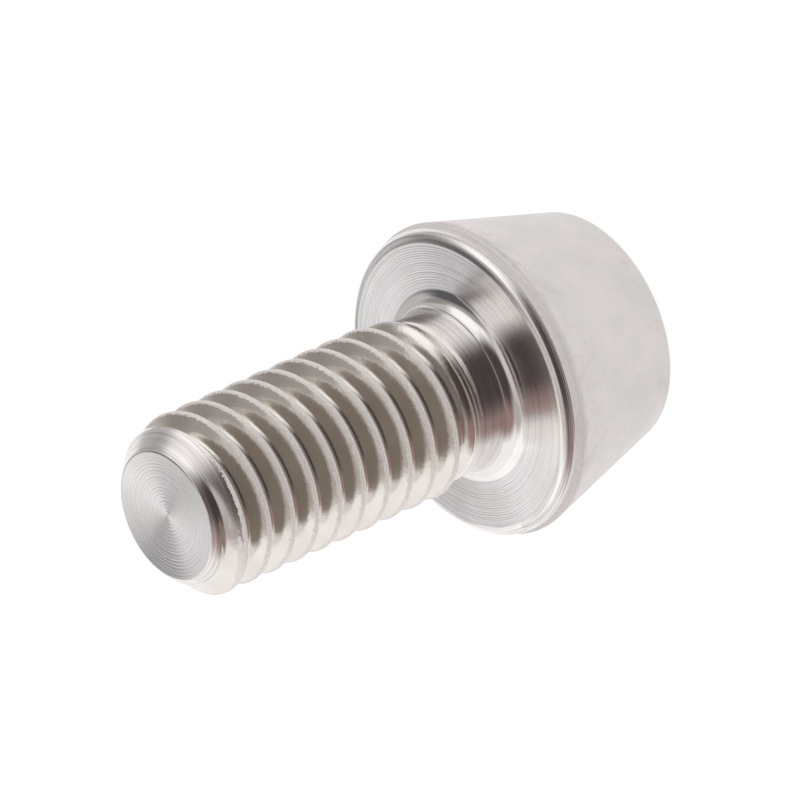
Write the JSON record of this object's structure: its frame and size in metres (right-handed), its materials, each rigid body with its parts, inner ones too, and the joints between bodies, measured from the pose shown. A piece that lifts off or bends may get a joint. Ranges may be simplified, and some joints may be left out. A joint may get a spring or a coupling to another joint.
{
  "type": "socket head cap screw",
  "caption": "Socket head cap screw with a tapered round head, hexagon drive socket, rounded bearing-face lip, plain neck and right-hand thread to a bevelled flat tip.",
  "frame": {"origin": "centre of the top of the head, on the plane that the screw stands on", "axes": "+Z along the screw's axis, from the head to the tip"},
  "size_m": [0.0106, 0.0106, 0.0183],
  "materials": {
    "metal": "bright, turned faces and rolled thread"
  },
  "bodies": {
    "root": {"cap_screw": "metal"}
  },
  "joints": []
}
